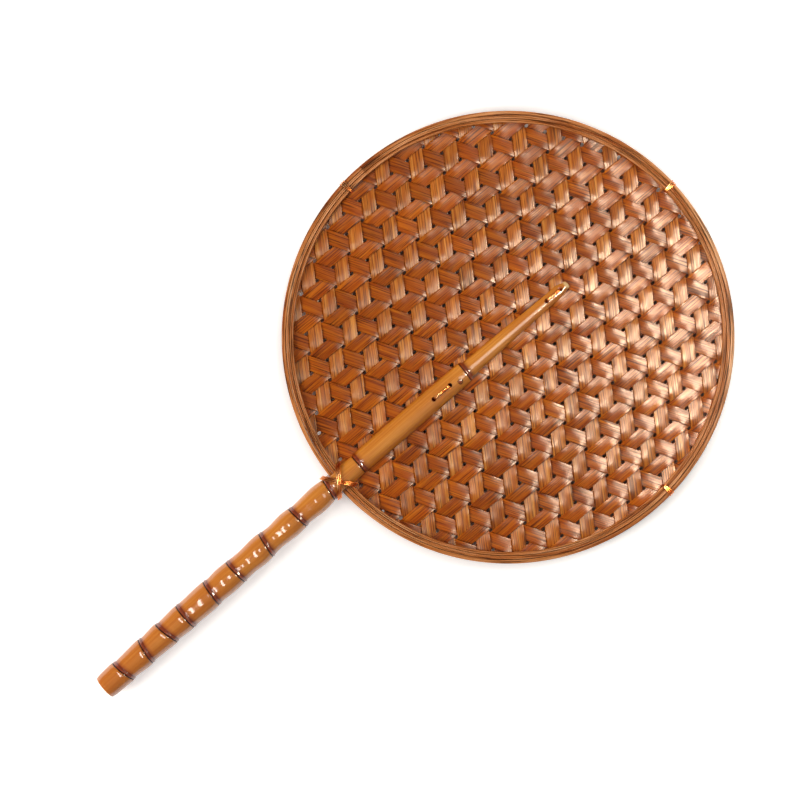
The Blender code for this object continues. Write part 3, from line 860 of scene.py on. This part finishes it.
def new_material(name):
    made = bpy.data.materials.new(name)
    made.use_nodes = True
    return made, made.node_tree, made.node_tree.nodes["Principled BSDF"]


def stretched_noise(tree, source, length, width, detail):
    """Noise drawn out along a map's first axis, sized in mm."""
    placed = add_node(tree, "ShaderNodeMapping", {
        "Vector": source, "Scale": (PER_METRE / length, PER_METRE / width, 1.0)})
    return add_node(
        tree, "ShaderNodeTexNoise",
        {"Vector": placed.outputs["Vector"], "Scale": 1.0, "Detail": detail, "Roughness": 0.6},
        noise_dimensions="2D").outputs["Fac"]


print("white is", colour("#ffffff")[:3], "and mid grey", round(colour("#808080")[0], 3))

# %% [markdown]
# Split bamboo is a bundle of straight fibres. Stained brown and varnished, each strip shows fine
# dark and pale lines along its length, and it shines softly, brighter on the hard fibres than
# between them. The fibres follow the strip and not the room, so the pattern reads the strip's own
# map, stretched about forty-five to one. A photo of bamboo would repeat on the strips, and noise
# does not. Brushed along its fibres, the varnish spreads a highlight across them, which the
# shader's anisotropy does.

# %% Split bamboo, stained and varnished
FIBRE_LENGTH, FIBRE_WIDTH = 30.0, 0.66         # in mm; real ones are finer and would not show
STREAK_LENGTH, STREAK_WIDTH = 80.0, 2.4
FIBRE_RELIEF = 0.08 * MM
DARK_LINES = ((0.36, "#e6e6e6"), (0.46, "#000000"))
PALE_LINES = ((0.54, "#000000"), (0.66, "#b4b4b4"))
ACROSS_FIBRES = 0.80                           # gloss spreads across the fibres, not along them
QUARTER_TURN = 0.25


def split_bamboo(name, map_name, stops, dark_line, tones, bump, varnish):
    """Fibres and streaks along a map, dark and pale lines on them, and a soft varnish."""
    made, tree, shader = new_material(name)
    strip_map = add_node(tree, "ShaderNodeUVMap", uv_map=map_name).outputs["UV"]
    streak = stretched_noise(tree, strip_map, STREAK_LENGTH, STREAK_WIDTH, 2.0)
    fibre = stretched_noise(tree, strip_map, FIBRE_LENGTH, FIBRE_WIDTH, 3.0)
    body = add_node(tree, "ShaderNodeValToRGB", {"Fac": streak}, stops).outputs["Color"]
    for lines, text in ((DARK_LINES, dark_line), (PALE_LINES, stops[-1][1])):
        share = add_node(tree, "ShaderNodeValToRGB", {"Fac": fibre}, lines).outputs["Color"]
        body = add_node(
            tree, "ShaderNodeMix", {MIX_FACTOR: share, MIX_A: body, MIX_B: text},
            data_type="RGBA").outputs[MIX_RESULT]
    tone = add_node(tree, "ShaderNodeAttribute", attribute_name="tone").outputs["Fac"]
    level = add_node(
        tree, "ShaderNodeMapRange",
        {"Value": tone, "To Min": tones[0], "To Max": tones[1]}).outputs["Result"]
    grey = add_node(
        tree, "ShaderNodeCombineColor", {"Red": level, "Green": level, "Blue": level})
    body = add_node(
        tree, "ShaderNodeMix", {MIX_FACTOR: 1.0, MIX_A: body, MIX_B: grey.outputs["Color"]},
        data_type="RGBA", blend_type="MULTIPLY").outputs[MIX_RESULT]
    gloss = add_node(tree, "ShaderNodeMapRange", {
        "Value": fibre, "From Min": 0.36, "From Max": 0.62, "To Min": 0.6, "To Max": 0.34})
    raised = add_node(tree, "ShaderNodeBump", {
        "Height": fibre, "Strength": bump, "Distance": FIBRE_RELIEF})
    tangent = add_node(tree, "ShaderNodeTangent", direction_type="UV_MAP", uv_map=map_name)
    set_inputs(shader, {
        "Base Color": body, "Roughness": gloss.outputs["Result"],
        "Normal": raised.outputs["Normal"], "Tangent": tangent.outputs["Tangent"],
        "Anisotropic": ACROSS_FIBRES, "Anisotropic Rotation": QUARTER_TURN,
        "Specular IOR Level": varnish})
    print(name, "has", len(tree.nodes), "nodes")
    return made


BROWNS = ((0.28, "#943d02"), (0.45, "#a34904"), (0.58, "#af5506"), (0.74, "#c16912"))
# The third family's stain is paler and brighter: painted sheen, for the light its strips catch
# across their fibres
SHEEN_PALE_BROWNS = ((0.28, "#99470c"), (0.45, "#ab5712"), (0.58, "#b9671c"), (0.74, "#d1873a"))
FULL_VARNISH, STRIP_BUMP = 0.5, 0.8
strip_finish = split_bamboo(
    "split_bamboo_varnished", "strip", BROWNS, "#461602", (0.84, 1.12), STRIP_BUMP, FULL_VARNISH)
sheen_painted_finish = split_bamboo(
    "split_bamboo_varnished_painted_sheen", "strip", SHEEN_PALE_BROWNS, "#4e1c02", (0.88, 1.14), STRIP_BUMP,
    FULL_VARNISH)
# the third family takes the paler copy, whose extra paleness is painted light
for piece, finish in zip(strips, (strip_finish, strip_finish, sheen_painted_finish)):
    piece.data.materials.append(finish)

# %% [markdown]
# The hoops are split from the outside of the culm and bent. They are the same bamboo, so they
# share its function, but they took less stain and little varnish: they look paler, redder and
# duller than the strips.

# %% Hoops bent from split bamboo
HOOP_BROWNS = ((0.25, "#8e4014"), (0.42, "#b46830"), (0.6, "#c88048"), (0.76, "#e4aa7a"))
THIN_VARNISH, HOOP_BUMP = 0.12, 0.6
hoop_finish = split_bamboo(
    "split_bamboo_hoop", "hoop", HOOP_BROWNS, "#4a1f0c", (1.0, 1.0), HOOP_BUMP, THIN_VARNISH)
for piece in hoops:
    piece.data.materials.append(hoop_finish)

# %% [markdown]
# The culm keeps its own smooth skin under a thick clear lacquer: warm golden brown, redder near the
# joints and darker towards the butt, with faint lengthwise lines. The skin itself is matt, and the
# lacquer is a clear coat over it, so the highlights are sharp while the wood stays soft.
# Where the wood is scarred or sawn there is no coat.

# %% Lacquered bamboo culm
CULM_STREAK, CULM_FIBRE, CLOUD = (60.0, 2.2), (30.0, 0.5), 22.0    # in mm
GOLDENS = ((0.3, "#c6721c"), (0.5, "#d08026"), (0.7, "#da8e34"))
BUTT_DARKENING = 0.6                                     # how much darker the colour is at the butt end; it fades to none at the rim
LACQUER_IOR = 1.65                             # several polished coats; plain lacquer has 1.5
# What the numbers on the vertices do: the colour there, and the values it starts and is full at
MARKS = (("near_joint", "#84300a", 0.15, 1.1), ("scar", "#160602", 0.2, 0.8),
         ("sawn", "#d9b57c", 0.35, 0.85))


def lacquered_culm():
    made, tree, shader = new_material("bamboo_culm_lacquered")
    culm_map = add_node(tree, "ShaderNodeUVMap", uv_map="culm").outputs["UV"]
    streak = stretched_noise(tree, culm_map, *CULM_STREAK, 3.0)
    fibre = stretched_noise(tree, culm_map, *CULM_FIBRE, 2.0)
    place = add_node(tree, "ShaderNodeTexCoord").outputs["Object"]
    cloud = add_node(tree, "ShaderNodeTexNoise", {
        "Vector": place, "Scale": PER_METRE / CLOUD, "Detail": 2.0}).outputs["Fac"]
    lines = add_node(
        tree, "ShaderNodeValToRGB", {"Fac": fibre}, ((0.32, "#383838"), (0.45, "#000000")))
    patch = add_node(
        tree, "ShaderNodeValToRGB", {"Fac": cloud}, ((0.42, "#000000"), (0.68, "#9a9a9a")))
    along_culm = add_node(tree, "ShaderNodeSeparateXYZ", {"Vector": place}).outputs["Y"]
    # darker towards the butt end, fading out by the rim
    butt_darkening = add_node(tree, "ShaderNodeMapRange", {
        "Value": along_culm, "From Min": handle_low.y, "From Max": disc_centre.y - RIM_INNER,
        "To Min": BUTT_DARKENING, "To Max": 0.0})
    layers = [(lines.outputs["Color"], "#9a5410"), (patch.outputs["Color"], "#b4601a"),
              (butt_darkening.outputs["Result"], "#b05a16")]
    for layer, text, start, full in MARKS:
        number = add_node(tree, "ShaderNodeAttribute", attribute_name=layer).outputs["Fac"]
        share = add_node(
            tree, "ShaderNodeMapRange", {"Value": number, "From Min": start, "From Max": full},
            interpolation_type="SMOOTHSTEP")
        layers.append((share.outputs["Result"], text))
    body = add_node(tree, "ShaderNodeValToRGB", {"Fac": streak}, GOLDENS).outputs["Color"]
    for share, text in layers:
        body = add_node(
            tree, "ShaderNodeMix", {MIX_FACTOR: share, MIX_A: body, MIX_B: text},
            data_type="RGBA").outputs[MIX_RESULT]
    scarred, sawn = layers[-2][0], layers[-1][0]
    bare = add_node(tree, "ShaderNodeMath", {0: scarred, 1: sawn}, operation="MAXIMUM")
    coat = add_node(
        tree, "ShaderNodeMath", {0: 1.0, 1: bare.outputs["Value"]}, operation="SUBTRACT")
    raised = add_node(tree, "ShaderNodeBump", {
        "Height": streak, "Strength": 0.25, "Distance": 0.15 * MM})
    set_inputs(shader, {
        "Base Color": body, "Normal": raised.outputs["Normal"], "Roughness": 0.45,
        "Specular IOR Level": 0.2, "Coat Weight": coat.outputs["Value"],
        "Coat Roughness": 0.07, "Coat IOR": LACQUER_IOR})
    print(made.name, "has", len(tree.nodes), "nodes")
    return made


handle.data.materials.clear()
handle.data.materials.append(lacquered_culm())

# %% [markdown]
# Drawn copper wire is bright where it was handled and browner where it has aged. It is a metal,
# so its colour is the colour of its reflection, and a slow noise moves between the two tones.

# %% Copper wire
TARNISH = 6.0                                  # mm from patch to patch
COPPERS = ((0.35, "#cc6c34"), (0.5, "#e28a4a"), (0.65, "#f2b47c"))


def copper():
    made, tree, shader = new_material("copper_wire_drawn")
    place = add_node(tree, "ShaderNodeTexCoord").outputs["Object"]
    cloud = add_node(tree, "ShaderNodeTexNoise", {
        "Vector": place, "Scale": PER_METRE / TARNISH, "Detail": 1.0})
    ramp = add_node(tree, "ShaderNodeValToRGB", {"Fac": cloud.outputs["Fac"]}, COPPERS)
    set_inputs(shader, {
        "Base Color": ramp.outputs["Color"], "Metallic": 1.0, "Roughness": 0.32})
    print(made.name, "has", len(tree.nodes), "nodes")
    return made


wire_finish = copper()
for piece in wires:
    piece.data.materials.append(wire_finish)

# %% [markdown]
# ## The camera
#
# The photograph looks straight down on a white table, with the fan turned so that its handle
# points to the lower left. The fan stays where it is and the camera turns instead. It is placed
# by numbers and not by eye: a known point of the disc and a known scale give its place over the
# table, and the handle's slope in the picture gives its turn.

# %% The camera
PICTURE = 800                                  # the render is square
SCALE = 0.6195 * MM                            # metres per pixel at the disc
DISC_PIXEL = Vector((507.85, 337.34))
HANDLE_SLOPE = radians(41.04)                  # the handle above the picture's x axis
LENS, SENSOR = 100.0, 36.0

turn = radians(90) - HANDLE_SLOPE
right = Vector((cos(turn), sin(turn), 0.0))
up = Vector((-sin(turn), cos(turn), 0.0))
from_disc = Vector((PICTURE / 2, PICTURE / 2)) - DISC_PIXEL
aim = disc_centre + (right * from_disc.x - up * from_disc.y) * SCALE
camera_data = bpy.data.cameras.new("camera")
camera_data.lens, camera_data.sensor_width = LENS, SENSOR
camera = bpy.data.objects.new("camera", camera_data)
bpy.context.scene.collection.objects.link(camera)
camera.location = aim + Vector((0, 0, PICTURE * SCALE * LENS / SENSOR))
camera.rotation_euler = (0.0, 0.0, turn)
bpy.context.scene.camera = camera
print("camera height", round(camera.location.z, 3), "m, turned",
      round(turn * 180 / pi, 2), "degrees")

# %% [markdown]
# ## The table
#
# The photograph's table is white to its edges, with a faint shadow close to the fan. More light
# would make it white and would wash out the bamboo too. So the card glows a little instead, only
# for rays that show it: from the camera, in a reflection, or through glass. It doesn't glow under
# the weave, whose small holes look dark, and it glows more far off, where less lamplight lands.

# %% The table
TABLE_HALF = 6.0                               # metres, so no view sees its edge
TABLE_DROP = 0.5 * MM                          # it lies this far under the fan
GLOW, GLOW_EDGE = 0.5, 6.0 * MM                # it sets in at the rim, this far to each side
FAR_GLOW, FAR_START, FAR_FULL = 0.5, 0.36, 0.9  # metres from the middle of the disc
WHITE = (1.0, 1.0, 1.0, 1.0)


def seen_by(tree, *kinds):
    """1.0 for rays of the named kinds, 0.0 for all others."""
    path = add_node(tree, "ShaderNodeLightPath")
    seen = path.outputs[kinds[0]]
    for kind in kinds[1:]:
        seen = add_node(
            tree, "ShaderNodeMath", {0: seen, 1: path.outputs[kind]},
            operation="MAXIMUM").outputs["Value"]
    return seen


def white_table():
    made, tree, shader = new_material("white_card")
    place = add_node(tree, "ShaderNodeTexCoord").outputs["Object"]
    reach = add_node(
        tree, "ShaderNodeVectorMath", {0: place, 1: (disc_centre.x, disc_centre.y, 0.0)},
        operation="DISTANCE").outputs["Value"]
    glows = [
        add_node(tree, "ShaderNodeMapRange", {
            "Value": reach, "From Min": start, "From Max": full, "To Max": most}).outputs["Result"]
        for start, full, most in (
            (DISC_RADIUS - GLOW_EDGE, DISC_RADIUS + GLOW_EDGE, GLOW),
            (FAR_START, FAR_FULL, FAR_GLOW))]
    glow = add_node(tree, "ShaderNodeMath", {0: glows[0], 1: glows[1]}, operation="ADD")
    seen = seen_by(tree, "Is Camera Ray", "Is Glossy Ray", "Is Transmission Ray")
    amount = add_node(
        tree, "ShaderNodeMath", {0: seen, 1: glow.outputs["Value"]}, operation="MULTIPLY")
    set_inputs(shader, {
        "Base Color": "#fafaf9", "Roughness": 0.9, "Emission Color": WHITE,
        "Emission Strength": amount.outputs["Value"]})
    return made


bm = bmesh.new()
bmesh.ops.create_grid(bm, x_segments=1, y_segments=1, size=TABLE_HALF)
table = new_object("table", bm)
table.location.z = cad_low.z - TABLE_DROP
table.data.materials.append(white_table())
print("the table lies at", round(table.location.z / MM, 2), "mm")

# %% [markdown]
# ## The lights
#
# A studio photographer lights such a fan twice: broad soft boxes give the even light, and smaller
# ones are moved about until their reflections sit well. Here each lamp does one of the two. A
# light lamp is hidden from reflections, and a gloss lamp is seen only in them. So the colours
# render about as they are written, and the sheen has its own place and strength: a warm one low
# over the right of the weave. Three windows draw the white streaks on the lacquered handle. They
# are kept off the weave by light linking, because on it they would only lay a grey veil.

# %% The lamps
NEUTRAL, WARM = "#fffaf4", "#fff3d6"
LAMP_FACTOR = 4.0                              # watts per square metre for each unit of light
LEVEL_BELOW_MM = 400                           # a lower lamp hangs level, a higher one is aimed


def soft_box(name, place_mm, sides_mm, strength, long_side, gives, tint, only_on=None):
    """A lamp, placed to the right, up and over the picture, its first side along long_side."""
    data = bpy.data.lights.new(name, "AREA")
    data.shape = "RECTANGLE"
    data.size, data.size_y = (side * MM for side in sides_mm)
    data.energy = strength * LAMP_FACTOR * data.size * data.size_y
    data.color = colour(tint)[:3]
    lamp = bpy.data.objects.new(name, data)
    to_right, upward, height = place_mm
    lamp.location = aim + (right * to_right + up * upward + Vector((0, 0, height))) * MM
    back = Vector((0, 0, 1)) if height < LEVEL_BELOW_MM else (lamp.location - aim).normalized()
    first = (long_side - back * long_side.dot(back)).normalized()
    lamp.rotation_euler = Matrix((first, back.cross(first), back)).transposed().to_euler()
    lamp.visible_camera = False
    lamp.visible_diffuse = gives == "light"
    lamp.visible_glossy = gives == "gloss"
    lamp.light_linking.receiver_collection = only_on
    bpy.context.scene.collection.objects.link(lamp)
    print(name, "gives", gives, "at", round(data.energy, 2), "watts")


over_grip = Vector((1.0, 0.0, 0.0))            # the handle lies along Y
polished = bpy.data.collections.new("polished")
for piece in (handle, *wires):
    polished.objects.link(piece)
soft_box("side_light", (290, 48, 330), (170, 170), 3.0, right, "light", NEUTRAL)
soft_box("far_fill", (450, 1150, 812), (700, 700), 5.5, right, "light", NEUTRAL)
soft_box("near_fill", (-1100, -450, 750), (700, 700), 9.2, right, "light", NEUTRAL)
soft_box("low_window", (265, 40, 260), (140, 140), 47.0, right, "gloss", WARM)
for name, place_mm, sides_mm, strength in (
        ("long_window", (-278, -242, 1000), (900, 45), 12.0),
        ("short_window", (-134, -117, 1000), (450, 30), 12.0),
        ("tongue_window", (295, -51, 1000), (700, 130), 3.0)):
    soft_box(name, place_mm, sides_mm, strength, over_grip, "gloss", NEUTRAL, polished)

# %% [markdown]
# The world is the room round the table. The camera sees it white, as it sees the photograph's
# background. It lights the fan only a little, and gloss shows it at nearly that low level: a full
# white in the varnish would turn the brown strips grey.

# %% The world
WORLD_LEVEL, MIRRORED_LEVEL = 0.14, 0.18       # the room's own light, and what gloss shows of it

world = bpy.data.worlds.new("studio")
world.use_nodes = True
mirrored = add_node(world.node_tree, "ShaderNodeMapRange", {
    "Value": seen_by(world.node_tree, "Is Glossy Ray"),
    "To Min": WORLD_LEVEL, "To Max": MIRRORED_LEVEL})
white = seen_by(world.node_tree, "Is Camera Ray", "Is Transmission Ray")
level = add_node(
    world.node_tree, "ShaderNodeMath", {0: white, 1: mirrored.outputs["Result"]},
    operation="MAXIMUM")
set_inputs(world.node_tree.nodes["Background"], {
    "Color": WHITE, "Strength": level.outputs["Value"]})
bpy.context.scene.world = world
bpy.context.scene.view_settings.view_transform = "Standard"
print("the world has", len(world.node_tree.nodes), "nodes")
